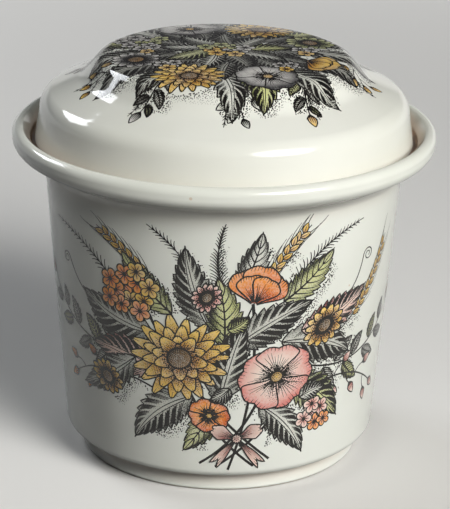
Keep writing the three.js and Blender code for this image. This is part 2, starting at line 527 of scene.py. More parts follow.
kiln_specks, given, made = new_group(
    "kiln_specks", {"Spacing Scale": 110.0, "Speck Size": 0.05, "Share": 0.07}, ("Mask",))
cells = add_node(kiln_specks, "ShaderNodeTexVoronoi",
                 {"Vector": own_place(kiln_specks), "Scale": given["Spacing Scale"]}).outputs
near = calculate(kiln_specks, "LESS_THAN", cells["Distance"], given["Speck Size"])
lot = add_node(kiln_specks, "ShaderNodeSeparateColor", {0: cells["Color"]}).outputs[0]
chosen = calculate(kiln_specks, "LESS_THAN", lot, given["Share"])
kiln_specks.links.new(calculate(kiln_specks, "MULTIPLY", near, chosen), made["Mask"])
print("groups:", [group.name for group in bpy.data.node_groups])

# %% [markdown]
# Glaze is glass on clay, and only its outer face meets the air. The Principled shader has just that: a
# clear mirror at its index of refraction over a matt colour, so it needs no second coat. Every
# glazed material gets the same mirror and the same waves, so a reflection runs on unbroken from the
# bare glaze over the print. Under the rim, above the foot, in the gallery, in the foot's recess and in the
# jar's inner floor corner, the cream is mixed towards a pinkish tan: painted warm shade in those hollows.

# %% Glaze materials
GLAZE_ROUGHNESS = 0.05
GLAZE_IOR = 1.52
WAVE_DEPTH = 0.00022
DEEP_STOP, LIGHT_STOP = 0.30, 0.62
JAR_DEEP, JAR_LIGHT = (0.745, 0.765, 0.70, 1), (0.79, 0.81, 0.755, 1)
LID_DEEP, LID_LIGHT = (0.735, 0.745, 0.68, 1), (0.78, 0.79, 0.735, 1)
# The pinkish tan of the painted shade in hollow corners.
HOLLOW_SHADE_TONE = (0.60, 0.43, 0.33, 1)
SPECK_TONE = (0.66, 0.58, 0.47, 1)


def place_group(tree, group, sockets=None):
    return add_node(tree, "ShaderNodeGroup", sockets, node_tree=group).outputs


def add_bumps(tree, shader, height, depth, strength=1.0):
    bump = add_node(tree, "ShaderNodeBump", {"Height": height, "Strength": strength, "Distance": depth})
    tree.links.new(bump.outputs[0], shader.inputs["Normal"])


def colour_ramp(tree, value, *stops):
    """The colour that runs along the value between two stops of (position, colour)."""
    ramp = add_node(tree, "ShaderNodeValToRGB", {"Fac": value})
    for element, (position, colour) in zip(ramp.color_ramp.elements, stops):
        element.position = position
        element.color = colour
    return ramp.outputs[0]


def glaze_over(tree, shader):
    """Gives a material the glaze's mirror and its waves, and returns the cloud value."""
    surface = place_group(tree, glaze_surface)
    add_bumps(tree, shader, surface["Height"], WAVE_DEPTH)
    shader.inputs["Roughness"].default_value = GLAZE_ROUGHNESS
    shader.inputs["IOR"].default_value = GLAZE_IOR
    return surface["Cloud"]


def cream_glaze(name, deep, light):
    """Bare glaze: two cream tones drifting, painted warm shade in the hollow corners, and a few specks."""
    material, tree, shader = new_material(name)
    drift = colour_ramp(tree, glaze_over(tree, shader), (DEEP_STOP, deep), (LIGHT_STOP, light))
    # Painted shade: the attribute mixes the cream towards the warm tan in the hollow corners.
    hollow_share = add_node(tree, "ShaderNodeAttribute", attribute_name="painted_hollow_shade").outputs["Fac"]
    shaded_drift = mix_colours(tree, hollow_share, drift, HOLLOW_SHADE_TONE)
    dotted = mix_colours(tree, place_group(tree, kiln_specks)["Mask"], shaded_drift, SPECK_TONE)
    tree.links.new(dotted, shader.inputs["Base Color"])
    return material


jar.data.materials.append(cream_glaze("jar_glaze", JAR_DEEP, JAR_LIGHT))
lid.data.materials.append(cream_glaze("lid_glaze", LID_DEEP, LID_LIGHT))
print("materials:", jar.data.materials.keys(), lid.data.materials.keys())

# %% [markdown]
# The jar stands on a ring that the glazer wiped clean, so that it would not stick to the kiln shelf.
# Those faces get a second material: dry clay, matt and a little grainy.

# %% Bare foot ring
BARE_HEIGHT = 0.45 * MM
CLAY_ROUGHNESS = 0.85
CLAY_STOPS = (0.35, (0.56, 0.48, 0.37, 1)), (0.65, (0.70, 0.63, 0.52, 1))
GRAIN_SCALE, GRAIN_DETAIL = 1400.0, 4.0
GRAIN_DEPTH, GRAIN_STRENGTH = 0.00008, 0.5

bare_clay, tree, shader = new_material("bare_clay")
grain = noise(tree, GRAIN_SCALE, GRAIN_DETAIL)
tree.links.new(colour_ramp(tree, grain, *CLAY_STOPS), shader.inputs["Base Color"])
shader.inputs["Roughness"].default_value = CLAY_ROUGHNESS
add_bumps(tree, shader, grain, GRAIN_DEPTH, GRAIN_STRENGTH)
jar.data.materials.append(bare_clay)
bare_faces = [face for face in jar.data.polygons if face.center.z < BARE_HEIGHT]
for face in bare_faces:
    face.material_index = jar.data.materials.find(bare_clay.name)
print(len(bare_faces), "faces of bare clay")

# %% [markdown]
# The jar carries a transfer print: a dark engraved line drawing that was filled in by hand with thin
# tints, all under the clear glaze. It could be a picture, but a picture blurs in a close view. Here
# the drawing is geometry: every tint is a small grid of faces, every ink line a ribbon, every dot a
# hexagon. The drawing is made flat first, in millimetres, and is laid on the clay afterwards.
# A flat point is a complex number, because turning and shifting are then plain sums and products.
# A flat shape is a function of two shares, t along it and u across it, that returns such a point.

# %% Flat points, lines and shapes
MEASURE_STEPS = 8


def shares(steps):
    """Even shares from 0 to 1."""
    return [k / steps for k in range(steps + 1)]


def mixed(first, second, share):
    """The colour at that share of the way from the first to the second."""
    share = max(0.0, min(1.0, share))
    return tuple(a + (b - a) * share for a, b in zip(first, second))


def polar(radius, angle):
    return complex(radius * math.cos(angle), radius * math.sin(angle))


def tilted(point, centre, squash, tilt):
    """Squeezes a point towards the line through the centre at angle tilt."""
    turn = polar(1.0, tilt)
    near = (point - centre) / turn
    return centre + turn * complex(near.real, near.imag * squash)


def measured(shape):
    """About how long a shape is along its middle, and how wide at its widest, in mm."""
    steps = shares(MEASURE_STEPS)
    length = sum(abs(shape(b, 0.5) - shape(a, 0.5)) for a, b in zip(steps, steps[1:]))
    return length, max(abs(shape(t, 1) - shape(t, 0)) for t in steps)


def curve(start, end, bend, steps=14):
    """Points of a parabola from start to end that bulges to the left by bend times its length."""
    return [start + (end - start) * complex(k / steps, 4 * bend * k / steps * (1 - k / steps))
            for k in range(steps + 1)]


def ahead(points, share):
    """The point at that share of a curve, and the unit direction in which it runs there."""
    k = min(int(share * (len(points) - 1)), len(points) - 2)
    step = points[k + 1] - points[k]
    return points[k], step / abs(step)


sample = curve(0j, 10 + 0j, 0.2)
print("a 10 mm line with a bend of 0.2 bulges by", max(point.imag for point in sample), "mm")

# %% [markdown]
# A sheet collects the drawing. Where motifs overlap, the later one has to hide the earlier one. So the
# sheet keeps a coarse map of what is drawn where, and puts each new motif one layer above all that lies
# under it. An engraver shades with dots: the darker a place, the larger its dot.

# %% A flat print sheet
COVER_CELL = 0.8
CLAIM_DENSITY = 1.6
RING_POINTS = 7
INK_LAYER_SHARE = 0.5
TIP_STEPS = 8
DOT_PITCH, DOT_SIZE = 0.58, 0.28
ROW_JITTER, COLUMN_JITTER = 0.3, 0.22
EDGE_MARGIN = 0.02
FAINTEST = 0.06


class PrintSheet:
    """Tints, ink strokes and ink dots of a flat drawing, each with the layer it lies on."""

    def __init__(self, seed, pitch):
        self.rng = random.Random(seed)
        self.pitch = pitch
        self.tints, self.strokes, self.dots = [], [], []
        self.cover = {}
        self.base = self.layer = 0

    def cell(self, point):
        return round(point.real / COVER_CELL), round(point.imag / COVER_CELL)

    def claim(self, points, floors=1):
        """Takes so many layers above everything that is drawn under these points."""
        cells = {self.cell(point) for point in points}
        self.base = 1 + max(self.cover.get(cell, 0) for cell in cells)
        self.cover.update(dict.fromkeys(cells, self.base + floors - 1))
        self.layer = self.base

    def floor(self, number):
        """Goes on drawing on that one of the claimed layers."""
        self.layer = self.base + number

    def claim_shape(self, shape):
        steps = shares(math.ceil(CLAIM_DENSITY * max(measured(shape)) / COVER_CELL))
        self.claim([shape(t, u) for t in steps for u in steps])

    def claim_round(self, centre, radius, floors, squash=1.0, tilt=0.0):
        rings = math.ceil(radius / COVER_CELL)
        spots = [centre + polar(radius * k / rings, math.tau * j / (RING_POINTS * k))
                 for k in range(1, rings + 1) for j in range(RING_POINTS * k)]
        self.claim([tilted(spot, centre, squash, tilt) for spot in spots], floors)

    def tint(self, shape, colour, along=3, across=2):
        """Fills a shape with a grid whose colour is a function of the place in the shape."""
        length, width = measured(shape)
        along = max(along, math.ceil(length / self.pitch))
        across = max(across, math.ceil(width / self.pitch))
        places = [(t, u) for t in shares(along) for u in shares(across)]
        grid = np.array([shape(t, u) for t, u in places]).reshape(along + 1, across + 1)
        tones = np.array([colour(t, u) for t, u in places]).reshape(along + 1, across + 1, 3)
        self.tints.append((self.layer, grid, tones))

    def stroke(self, points, width, end_width=None):
        self.strokes.append((self.layer + INK_LAYER_SHARE, points, width, end_width or width))

    def rib(self, shape, u, start, run, steps, width, end_width=None):
        """A stroke along a shape at one u, from t at start over that run of t."""
        self.stroke([shape(start + run * k / steps, u) for k in range(steps + 1)], width, end_width)

    def outline(self, shape, along, width):
        """A stroke along one edge, over the tip and back along the other edge."""
        out = [shape(t, 0) for t in shares(along)]
        over = [shape(1, u) for u in shares(TIP_STEPS)[1:-1]]
        home = [shape(1 - t, 1) for t in shares(along)]
        self.stroke(out + over + home, width)

    def dot(self, centre, radius):
        self.dots.append((self.layer + INK_LAYER_SHARE, centre, radius))

    def shade_dot(self, centre, shade, size):
        """A dot whose area stands for the shade; where that is faint, none."""
        if shade > FAINTEST:
            self.dot(centre, size * math.sqrt(min(shade, 1.0)))

    def stipple(self, shape, shade, pitch=DOT_PITCH):
        """Rows of dots that follow the shape, with shade as a function of the place in the shape."""
        rows = max(2, int(measured(shape)[0] / pitch))
        for i in range(rows):
            columns = max(1, int(abs(shape((i + 0.5) / rows, 1) - shape((i + 0.5) / rows, 0)) / pitch))
            for j in range(columns):
                t = (i + 0.5 + self.rng.uniform(-ROW_JITTER, ROW_JITTER)) / rows
                aside = self.rng.uniform(-COLUMN_JITTER, COLUMN_JITTER)
                u = (j + 0.5 + 0.5 * (i % 2) + aside) / (columns + 0.5)
                if EDGE_MARGIN < u < 1 - EDGE_MARGIN:
                    self.shade_dot(shape(t, u), shade(t, u), DOT_SIZE)

    def count(self):
        return f"{len(self.tints)} tints, {len(self.strokes)} strokes and {len(self.dots)} dots"


print("an empty sheet holds", PrintSheet(seed=0, pitch=1.0).count())

# %% [markdown]
# The tints are few, as on a real print of this kind: ochre, orange, pink and olive, with greyed greens
# for the leaves, and on the lid mostly grey and near-black. Each is a deep and a pale tone, and a motif
# runs from one to the other.

# %% Tints
OCHRE = (0.42, 0.18, 0.015), (0.90, 0.64, 0.15)
ORANGE = (0.60, 0.10, 0.008), (0.92, 0.38, 0.06)
PINK = (0.66, 0.20, 0.17), (0.86, 0.73, 0.64)
OLIVE = (0.15, 0.17, 0.045), (0.60, 0.62, 0.29)
DARK_GREEN = (0.09, 0.095, 0.08), (0.58, 0.59, 0.53)
GREY_GREEN = (0.10, 0.11, 0.09), (0.70, 0.71, 0.65)
ROSE_LEAF = (0.28, 0.085, 0.075), (0.83, 0.62, 0.53)
SEED_BROWN = (0.10, 0.06, 0.03), (0.32, 0.17, 0.045)
DUSK = (0.05, 0.048, 0.052), (0.72, 0.70, 0.67)
NIGHT = (0.03, 0.032, 0.03), (0.26, 0.265, 0.235)
POLLEN = (0.62, 0.40, 0.07), (0.45, 0.24, 0.04)
print("halfway between deep and pale ochre:", [round(value, 3) for value in mixed(*OCHRE, 0.5)])

# %% [markdown]
# A leaf is a curved midrib with a width that swells and ends in a point; a saw-tooth cuts its edge.
# t runs from the stalk to the tip, u from one edge to the other. Veins, hatching and stipple then
# follow the leaf by themselves, because they are drawn through the same function. The edges are dark
# and hatched inwards, one half more than the other, which is how an engraver turns a leaf. On the
# darkest leaves the hatching leaves the veins out, so that they stay pale on black.

# %% Leaf shape
TOOTH_STEPS = 5
TOOTH_PEAK, TOOTH_DEPTH, TOOTH_LEAN = 0.8, 0.32, 0.32
LEAST_REACH = 0.84
BASE_HEAVY, FULLNESS = 0.8, 0.85


def leaf_shape(base, tip, width, bend=0.0, teeth=0):
    axis = tip - base
    length = abs(axis)
    turn = axis / length

    def shape(t, u):
        """The midrib's place at t, moved aside by the width there, which the teeth lengthen."""
        side, reach, at = 2 * u - 1, 1.0, t
        if teeth and t < 1:
            saw = t * teeth % 1.0
            reach = LEAST_REACH + TOOTH_DEPTH * (saw if saw < TOOTH_PEAK else 4 * (1 - saw))
            at = min(1.0, t + TOOTH_LEAN * abs(side) * saw / teeth)
        half = 0.5 * width * max(0.0, math.sin(math.pi * at ** BASE_HEAVY)) ** FULLNESS
        slope = complex(length, 4 * bend * (1 - 2 * at))
        rib = base + turn * complex(length * at, 4 * bend * at * (1 - at))
        return rib + turn * slope / abs(slope) * 1j * half * reach * side

    return shape


print("a leaf with both sizes 10 measures", [round(v, 1) for v in measured(leaf_shape(0j, 10 + 0j, 10))])

# %% [markdown]
# The pens are pairs of widths in millimetres, at the start and at the end of a line: a burin's cut swells
# and thins out. The heavier the shading on one half of a leaf, the more hatching lines it gets, and
# the wider and longer they are.

# %% Leaves
VEINS, FIRST_VEIN, VEIN_RUN = 7, 0.06, 0.80
ENGRAVED_TONE = 0.8
LEAF_EDGE_PEN = 0.46
MIDRIB_PEN, SPLIT_RIB_PEN, VEIN_PEN = (0.75, 0.2), (0.36, 0.2), (0.46, 0.16)
MIDRIB_STEPS, VEIN_STEPS, HATCH_STEPS = 14, 5, 4
VEIN_LEAN, VEIN_CURVE = 0.20, 1.15
HATCH_LINES, HATCH_LEAST, HATCH_FULL_WIDTH = 7.5, 0.35, 9
HATCH_START, HATCH_DEEPEST = 0.97, 0.88
HATCH_WIDTH, HATCH_SWELL, HATCH_END, ENGRAVED_END = 0.14, 0.34, 0.10, 0.18
LEAF_DOT_PITCH = 0.66


def draw_vein(sheet, leaf, root, edge, heavy, engraved):
    """The vein from root towards one edge, and the hatching beside it; on engraved leaves that alone."""
    def vein(share, shift):
        """The place at that share of the vein, or of a line that is shifted along the leaf from it."""
        return leaf(root + shift + VEIN_LEAN * share ** VEIN_CURVE, 0.5 + (edge - 0.5) * share)

    if not engraved:
        sheet.stroke([vein(share, 0.0) for share in shares(VEIN_STEPS)], *VEIN_PEN)
    wide = abs(leaf(root, 1) - leaf(root, 0))
    lines = round(HATCH_LINES * heavy * max(HATCH_LEAST, wide / HATCH_FULL_WIDTH))
    for m in range(lines):
        share = (m + 0.7) / (lines + 0.6)
        inward = sheet.rng.uniform(0.22, 0.34) + 0.42 * heavy * (1 - 0.6 * share)
        if engraved:
            share = 0.18 + 0.68 * (m + 0.5) / lines
            inward = min(HATCH_DEEPEST, 0.36 + inward * heavy)
        hatch = [vein(HATCH_START - inward * q / HATCH_STEPS, VEIN_RUN / VEINS * share)
                 for q in range(HATCH_STEPS + 1)]
        sheet.stroke(hatch, HATCH_WIDTH + HATCH_SWELL * heavy, ENGRAVED_END if engraved else HATCH_END)


def draw_leaf(sheet, base, tip, width, bend, teeth, wash, tone, lit=1):
    """A toothed leaf with midrib, veins and hatching; tone is how dark, lit which half is pale."""
    shape, smooth = leaf_shape(base, tip, width, bend, teeth), leaf_shape(base, tip, width, bend)
    deep, pale = wash
    engraved = tone >= ENGRAVED_TONE

    def shaded(u):
        """0 at the lit edge, 1 at the shaded one."""
        return u if lit > 0 else 1 - u

    def wash_tone(t, u):
        """Deep at both edges and over the shaded half, with a slow change along the leaf."""
        return mixed(pale, deep, 0.9 * abs(2 * u - 1) ** 1.5 + 0.6 * shaded(u) - 0.2 + 0.08 * math.sin(9 * t))

    def dot_shade(t, u):
        """More towards the edges, and on the shaded half."""
        return tone * (0.16 + 0.5 * abs(2 * u - 1)) * (1.2 if shaded(u) > 0.5 else 0.5)

    sheet.claim_shape(shape)
    sheet.tint(shape, wash_tone, along=TOOTH_STEPS * teeth)
    sheet.outline(shape, TOOTH_STEPS * teeth, LEAF_EDGE_PEN)
    for u in (0.45, 0.55) if engraved else (0.5,):
        sheet.rib(smooth, u, 0.0, 1.0, MIDRIB_STEPS, *(SPLIT_RIB_PEN if engraved else MIDRIB_PEN))
    for k in range(VEINS):
        for edge in (0.05, 0.95):
            heavy = tone * (1.0 if shaded(edge) > 0.5 else 0.7 if engraved else 0.45)
            draw_vein(sheet, smooth, FIRST_VEIN + VEIN_RUN * k / VEINS, edge, heavy, engraved)
    sheet.stipple(smooth, dot_shade, LEAF_DOT_PITCH)


sample = PrintSheet(seed=0, pitch=1.0)
draw_leaf(sample, 0j, 20 + 0j, 9, 1.0, 8, OLIVE, 0.6)
print("a leaf of 20 mm takes", sample.count())

# %% [markdown]
# Petals use the same idea. A petal widens from its claw, rounds off at the tip, and may be squeezed
# towards one side, so that a whole flower looks tilted. Petals overlap their neighbours, so a flower
# claims a few layers at once: every second petal lies on one, and those between on the next.

# %% Petals and flower centres
PETAL_EDGE_PEN, LARGE_EDGE_PEN, DISC_EDGE_PEN = 0.42, 0.46, 0.46
PETAL_VEIN_PEN, NICK_PEN = (0.32, 0.10), (0.26, 0.10)
SEED_RINGS, SEEDS = 1.7, 6
PETAL_STEPS, PETAL_VEIN_STEPS, NICK_STEPS, DISC_STEPS = 10, 6, 3, 24


def petal_shape(centre, angle, claw, length, spread, drop, squash=1.0, tilt=0.0, notch=0.0):
    """A petal from claw to length along angle; drop rounds its tip, notch dents it."""
    def shape(t, u):
        """Narrow at the claw and broad before the tip, which falls back at the sides and in the notch."""
        x = 2 * u - 1
        swell = math.sin(math.pi * (0.10 + 0.62 * t)) * (0.35 + 0.65 * t)
        fall = drop * abs(x) ** 2.2 + notch * math.exp(-(x / 0.28) ** 2)
        flat = complex(claw + (length - claw) * t * (1 - fall * t), 0.5 * spread * length * x * swell)
        return tilted(centre + flat * polar(1.0, angle), centre, squash, tilt)

    return shape


def draw_petal(sheet, shape, colour, shade, veins, width=PETAL_EDGE_PEN):
    """A petal with tint, outline, veins from its claw, nicks at its tip and stipple."""
    sheet.tint(shape, colour)
    sheet.outline(shape, PETAL_STEPS, width)
    for k in range(veins):
        u = 0.12 + 0.76 * (k + 0.5) / veins
        stop = sheet.rng.uniform(0.35, 0.75)
        vein = [shape(0.03 + stop * q / PETAL_VEIN_STEPS, u + 0.35 * (0.5 - u) * (1 - q / PETAL_VEIN_STEPS))
                for q in range(PETAL_VEIN_STEPS + 1)]
        sheet.stroke(vein, *PETAL_VEIN_PEN)
        sheet.rib(shape, u, 1, -sheet.rng.uniform(0.10, 0.20), NICK_STEPS, *NICK_PEN)
    sheet.stipple(shape, shade)


def draw_disc(sheet, centre, radius, wash, squash=1.0, tilt=0.0):
    """The seeded middle of a flower: a tinted disc with rings of dots, darker on one side."""
    def shape(t, u):
        return tilted(centre + polar(radius * t, math.tau * u), centre, squash, tilt)

    round_steps = max(12, math.ceil(math.tau * radius / sheet.pitch))
    sheet.tint(shape, lambda t, u: mixed(*wash, t), across=round_steps)
    sheet.stroke([shape(1, u) for u in shares(DISC_STEPS)], DISC_EDGE_PEN)
    rings = max(1, int(radius * SEED_RINGS))
    for i in range(1, rings + 1):
        t = i / (rings + 0.3)
        for j in range(SEEDS * i):
            side = 0.6 + 0.4 * math.sin(math.tau * j / (SEEDS * i) - 0.8)
            sheet.dot(shape(0.94 * t, (j + 0.5 * (i % 2)) / (SEEDS * i)), 0.14 + 0.20 * t * side)


def petal_floors(count):
    """Numbers of a ring's petals with the layer of each: every second one first, those between above."""
    return [(j, 0) for j in range(0, count, 2)] + [(j, 1) for j in range(1, count, 2)]


print("five petals are drawn in the order", [number for number, _ in petal_floors(5)])

# %% [markdown]
# Four kinds of flower are enough for a spray that does not repeat itself. The first is a many-rayed
# bloom: with one ring of petals it is a daisy, with three a dahlia. The engraver's light comes from the
# upper left, so petals that point to the lower right are deeper in tint and carry more stipple, and a
# flat flower gets some volume.

# %% Daisies and dahlias
DAHLIA = (1.0, 18, 0.20, 0.75), (0.80, 14, 0.20, 0.75), (0.56, 10, 0.15, 0.70)
DAISY = ((1.0, 14, 0.30, 0.50),)
PETAL_OVERLAP = 1.25
SHADOW_WAY = -0.9


def in_shadow(angle):
    """0 for a petal that points to the engraver's light, 1 for one that points away from it."""
    return 0.5 + 0.5 * math.cos(angle - SHADOW_WAY)


def draw_bloom(sheet, centre, radius, rings, disc, wash, squash=1.0, tilt=0.0):
    """A daisy or dahlia: rings of (reach, count, claw, drop) petals round a seeded disc."""
    def colour(t, u):
        """Pale towards the tip, deep at the claw, at the sides and away from the light."""
        return mixed(*wash, 1.5 * t - 0.35 - 0.3 * abs(2 * u - 1) - 0.35 * dark)

    def shade(t, u):
        """Dark at the claw and along one side, more so away from the light."""
        return 1.4 * (0.80 - t) + 0.9 * dark * (1.15 - t) * u + 0.6 * max(0.0, u - 0.7)

    spin = 0.0
    sheet.claim_round(centre, radius, 2 * len(rings) + 1, squash, tilt)
    for ring, (reach, count, claw, drop) in enumerate(rings):
        spread = PETAL_OVERLAP * math.tau / count
        for j, floor in petal_floors(count):
            sheet.floor(2 * ring + floor)
            angle = spin + math.tau * j / count + sheet.rng.uniform(-0.05, 0.05)
            dark = in_shadow(angle)
            length = radius * reach * sheet.rng.uniform(0.93, 1.04)
            shape = petal_shape(centre, angle, radius * claw, length, spread, drop, squash, tilt)
            draw_petal(sheet, shape, colour, shade, veins=3)
        spin += math.pi / count
    sheet.floor(2 * len(rings))
    draw_disc(sheet, centre, radius * disc, SEED_BROWN, squash, tilt)


print("a dahlia has", sum(count for _, count, _, _ in DAHLIA), "petals")

# %% [markdown]
# An open rose has five broad notched petals and a ring of stamens. A poppy is seen from the side, as a
# cup: its back petals are drawn first and its front ones last. Both use the petal function of the
# daisy with other numbers.

# %% Roses and poppies
ROSE = (0, 0), (2, 0), (4, 1), (1, 1), (3, 2)
POPPY = ((0.62, 1.22, 0.95, 0.35), (-0.62, 1.22, 0.95, 0.35), (0.0, 1.32, 1.05, 0.35),
         (0.36, 1.00, 1.10, 0.0), (-0.34, 0.98, 1.15, 0.0))
STAMENS, STAMEN_PEN, ANTHER_SIZE = 22, 0.16, 0.34


def draw_rose(sheet, centre, radius, wash, squash=1.0, tilt=0.0, spin=0.0):
    """An open rose: ROSE lists its petals' (number, layer); they are paler towards the middle."""
    deep, pale = wash

    def colour(t, u):
        """Deep at the rim, at the sides and away from the light, pale in the middle."""
        return mixed(pale, deep, 1.05 * t * t + 0.25 * abs(2 * u - 1) - 0.18 + 0.35 * dark)

    def shade(t, u):
        """Dark in the throat, at one side of the tip, and away from the light."""
        return 1.1 * (0.46 - t) + 0.88 * u * max(0.0, t - 0.72) + 0.75 * dark * (u - 0.25)

    def place(reach, angle):
        """A place in the flower, at that share of its radius."""
        return tilted(centre + polar(radius * reach, angle), centre, squash, tilt)

    sheet.claim_round(centre, radius, 4, squash, tilt)
    for j, floor in ROSE:
        sheet.floor(floor)
        angle = spin + math.tau * j / len(ROSE) + sheet.rng.uniform(-0.06, 0.06)
        dark = in_shadow(angle)
        length = radius * sheet.rng.uniform(0.96, 1.05)
        shape = petal_shape(centre, angle, 0.10 * radius, length, 1.42, 0.30, squash, tilt, notch=0.13)
        draw_petal(sheet, shape, colour, shade, veins=9, width=LARGE_EDGE_PEN)
    sheet.floor(3)
    draw_disc(sheet, centre, 0.17 * radius, POLLEN, squash, tilt)
    for j in range(STAMENS):
        angle = math.tau * j / STAMENS + sheet.rng.uniform(-0.1, 0.1)
        tip = place(sheet.rng.uniform(0.28, 0.44), angle)
        sheet.stroke([place(0.15, angle), tip], STAMEN_PEN)
        sheet.dot(tip, ANTHER_SIZE)


def draw_poppy(sheet, centre, radius, angle, wash):
    """A cup seen from the side: POPPY lists its petals' (turn, length, spread, shadow), back ones first."""
    def colour(t, u):
        """Pale towards the tip; the petals behind stay deeper."""
        return mixed(*wash, (0.92 - 0.4 * shadow) * t - 0.4 * (1 - u))

    def shade(t, u):
        """Dark at the foot and on one side; the petals behind are darker."""
        return 0.55 - t + shadow * max(0.0, 0.9 - t) + 0.5 * (0.55 - u)

    foot = centre - polar(0.35 * radius, angle)
    sheet.claim_round(centre + polar(0.2 * radius, angle), radius, len(POPPY))
    for floor, (turn, length, spread, shadow) in enumerate(POPPY):
        sheet.floor(floor)
        shape = petal_shape(foot, angle + turn, 0.06 * radius, radius * length, spread, 0.22, notch=0.06)
        draw_petal(sheet, shape, colour, shade, veins=9, width=LARGE_EDGE_PEN)


print("rose and poppy have", len(ROSE), "and", len(POPPY), "petals")

# %% [markdown]
# The fourth kind is a head of small florets. Each floret is a single five-lobed tint, since its petals
# are too small to be drawn one by one. Seeds in a flower follow the golden angle, which never lines
# up, so the florets are placed in the same way.

# %% Florets
LOBES = 5
FLORET_EDGE_PEN, LOBE_PEN, FOLD_PEN = 0.40, 0.32, (0.40, 0.12)
FLORET_STEPS, FLORET_TINT_STEPS, LOBE_STEPS = 40, 30, 4
HEAD_SQUASH = 0.85
GOLDEN_ANGLE = math.pi * (3 - math.sqrt(5))


def draw_floret(sheet, centre, radius, wash, spin):
    """A five-lobed floret in one piece, with lines between its lobes and a dark eye."""
    def shape(t, u):
        lobe = abs(math.sin(LOBES / 2 * math.tau * u)) ** 0.7
        return centre + polar(radius * t * (0.62 + 0.38 * lobe), spin + math.tau * u)

    sheet.claim([shape(t, k / 20) for t in (0.0, 0.5, 1.0) for k in range(20)])
    sheet.tint(shape, lambda t, u: mixed(*wash, 1.15 * t - 0.2), across=FLORET_TINT_STEPS)
    sheet.stroke([shape(1, u) for u in shares(FLORET_STEPS)], FLORET_EDGE_PEN)
    for j in range(LOBES):
        sheet.rib(shape, j / LOBES, 0.1, 0.9, LOBE_STEPS, LOBE_PEN)
        sheet.rib(shape, (j + 0.5) / LOBES, 0.1, 0.6, LOBE_STEPS, *FOLD_PEN)
    sheet.dot(centre, 0.2 * radius)


def draw_florets(sheet, centre, radius, count, size, washes):
    """A round head of florets, placed as seeds are, by the golden angle."""
    for k in range(count):
        reach = radius * math.sqrt((k + 0.3) / count)
        spot = tilted(centre + polar(reach, GOLDEN_ANGLE * k), centre, HEAD_SQUASH, 0.0)
        draw_floret(sheet, spot, size * sheet.rng.uniform(0.88, 1.08), washes[k % len(washes)],
                    sheet.rng.uniform(0, math.tau))


print("golden angle:", round(math.degrees(GOLDEN_ANGLE), 1), "degrees")

# %% [markdown]
# Between the flowers go lighter things. Each follows a bent line, and its leaves or buds take their
# direction from that line. First come leafy twigs, and twigs with buds.

# %% Buds and twigs
TWIG_PEN, BUD_TWIG_PEN, BUD_STALK_PEN = (0.66, 0.42), (0.62, 0.40), (0.42, 0.34)
BUD_EDGE_PEN = 0.42
TWIG_TONE, TWIG_TEETH = 0.6, 6
TWIG_BUD_LENGTH, TWIG_BUD_WIDTH = 5.0, 2.8
TWIG_STEPS, BUD_STEPS, SEPAL_STEPS = 24, 12, 5
SEPAL_TURN, BUD_TURN = 0.75, 0.8


def draw_stem(sheet, points, pen):
    sheet.claim(points)
    sheet.stroke(points, *pen)


def draw_bud(sheet, base, tip, width, wash):
    """A closed bud with a few fold lines, held by two dark sepals."""
    shape = leaf_shape(base, tip, width)
    sheet.claim_shape(shape)
    sheet.tint(shape, lambda t, u: mixed(*wash, 1.1 * t - 0.5 * abs(u - 0.35)))
    sheet.outline(shape, BUD_STEPS, BUD_EDGE_PEN)
    for u in (0.25, 0.5, 0.75):
        sheet.rib(shape, u, 0.05, 0.6, SEPAL_STEPS, *FOLD_PEN)
    for turn in (-SEPAL_TURN, SEPAL_TURN):
        sepal = curve(base, base + 0.55 * (tip - base) * polar(1.0, turn), 0.1 * turn, SEPAL_STEPS)
        sheet.stroke(sepal, 0.34 * width, 0.1)


def draw_twig(sheet, start, end, bend, leaves, size, washes, bud_wash):
    """A leafy twig that ends in a bud; its leaves stand left and right in turn and get smaller."""
    line = curve(start, end, bend, TWIG_STEPS)
    draw_stem(sheet, line, TWIG_PEN)
    for k in range(leaves):
        share, side = 0.22 + 0.74 * k / leaves, 1 if k % 2 else -1
        spot, way = ahead(line, share)
        length = size * (1 - 0.45 * share) * sheet.rng.uniform(0.9, 1.1)
        arm = way * polar(length, side * (0.85 - 0.2 * share))
        draw_leaf(sheet, spot + 0.1 * arm, spot + arm, 0.46 * length, 0.5 * side, TWIG_TEETH,
                  washes[k % len(washes)], TWIG_TONE, lit=side)
    draw_bud(sheet, end, end + TWIG_BUD_LENGTH * ahead(line, 1.0)[1], TWIG_BUD_WIDTH, bud_wash)


def draw_bud_twig(sheet, start, end, bend, buds, size, wash):
    """A bare twig with stalked buds left and right in turn, and one at its end."""
    line = curve(start, end, bend, TWIG_STEPS)
    draw_stem(sheet, line, BUD_TWIG_PEN)
    for k in range(buds):
        side = 0 if k == buds - 1 else 1 if k % 2 else -1
        spot, way = ahead(line, 0.35 + 0.65 * k / (buds - 1))
        way = way * polar(1.0, BUD_TURN * side)
        foot = spot + way * size * 1.1 * abs(side)
        if side:
            sheet.stroke(curve(spot, foot, 0.12 * side, SEPAL_STEPS), *BUD_STALK_PEN)
        draw_bud(sheet, foot, foot + way * size, 0.58 * size, wash)


sample = PrintSheet(seed=0, pitch=1.0)
draw_bud_twig(sample, 0j, 40 + 0j, 0.1, 6, 4.0, PINK)
print("a twig with six buds takes", sample.count())

# %% [markdown]
# Finer still are ears of grain, feathery fronds and curling tendrils, which are hardly more than lines.
# They loosen the edge of the spray, where large leaves alone would make a hard outline.

# %% Grain, fronds and tendrils
STALK_PEN, HUSK_EDGE_PEN, AWN_PEN = (0.55, 0.3), 0.34, (0.28, 0.12)
HUSK_LENGTH, HUSK_WIDTH, HUSK_TURN, HUSK_LAYERS = 3.4, 1.75, 0.42, 4
STALK_STEPS, HUSK_STEPS, AWN_STEPS = 30, 7, 4
FROND_PEN, BARB_PEN, TENDRIL_PEN = (0.55, 0.28), (0.42, 0.20), (0.52, 0.28)
FROND_STEPS, TENDRIL_STEPS, SPIRAL_STEPS = 26, 12, 16


